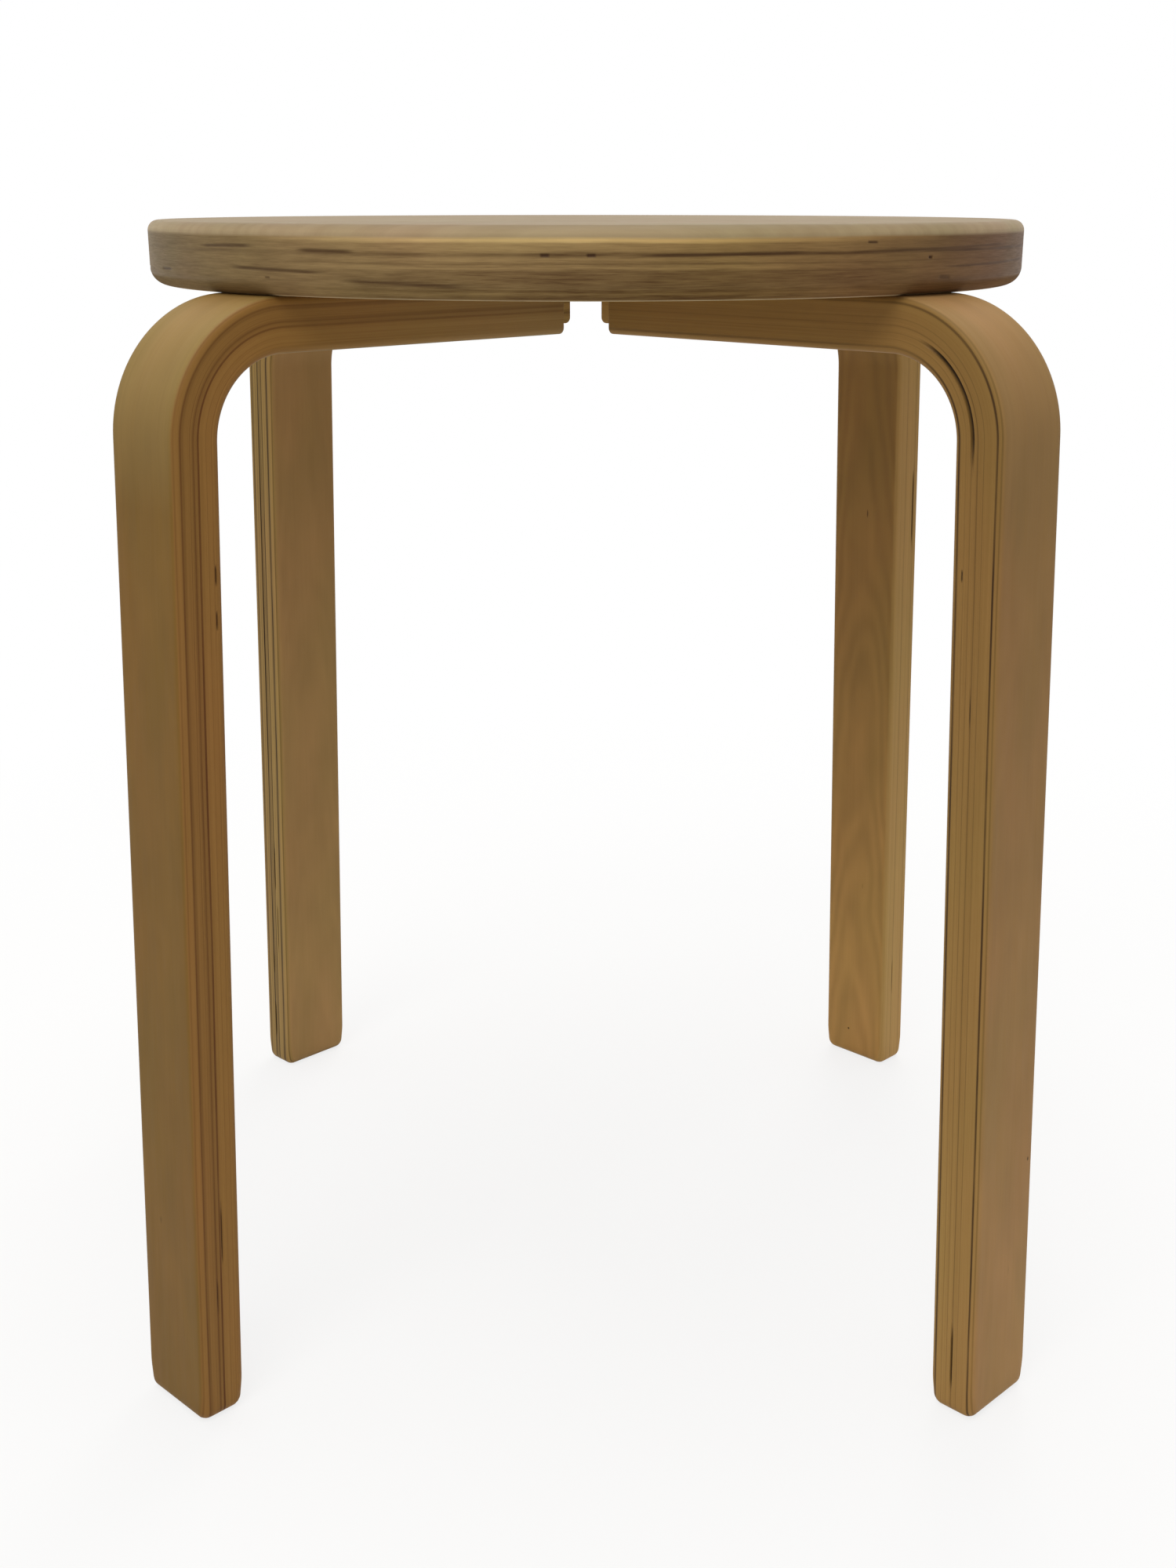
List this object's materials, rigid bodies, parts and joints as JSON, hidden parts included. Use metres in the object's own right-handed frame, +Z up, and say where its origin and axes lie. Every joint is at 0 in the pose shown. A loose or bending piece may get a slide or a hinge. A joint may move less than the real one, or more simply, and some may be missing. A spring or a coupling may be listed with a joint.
{
  "type": "stacking stool",
  "caption": "Round plywood stacking stool on four bent laminated legs, each with its upper limb screwed flat to the underside of the seat.",
  "frame": {"origin": "on the floor, at the vertical axis of the seat", "axes": "+Z up, +Y to the back and +X to the right of the stool as pictured; the legs stand on the diagonals"},
  "size_m": [0.3526, 0.3526, 0.45],
  "materials": {
    "seat_plywood": "clear matte varnish",
    "leg_plywood": "clear matte varnish",
    "screw_steel": "zinc plated",
    "insert_brass": "plain"
  },
  "bodies": {
    "root": {"seat": "seat_plywood", "leg_rear_right": "leg_plywood", "screw_rear_right_inner": "screw_steel", "insert_rear_right_inner": "insert_brass", "screw_rear_right_outer": "screw_steel", "insert_rear_right_outer": "insert_brass", "leg_rear_left": "leg_plywood", "screw_rear_left_inner": "screw_steel", "insert_rear_left_inner": "insert_brass", "screw_rear_left_outer": "screw_steel", "insert_rear_left_outer": "insert_brass", "leg_front_left": "leg_plywood", "screw_front_left_inner": "screw_steel", "insert_front_left_inner": "insert_brass", "screw_front_left_outer": "screw_steel", "insert_front_left_outer": "insert_brass", "leg_front_right": "leg_plywood", "screw_front_right_inner": "screw_steel", "insert_front_right_inner": "insert_brass", "screw_front_right_outer": "screw_steel", "insert_front_right_outer": "insert_brass"}
  },
  "joints": []
}
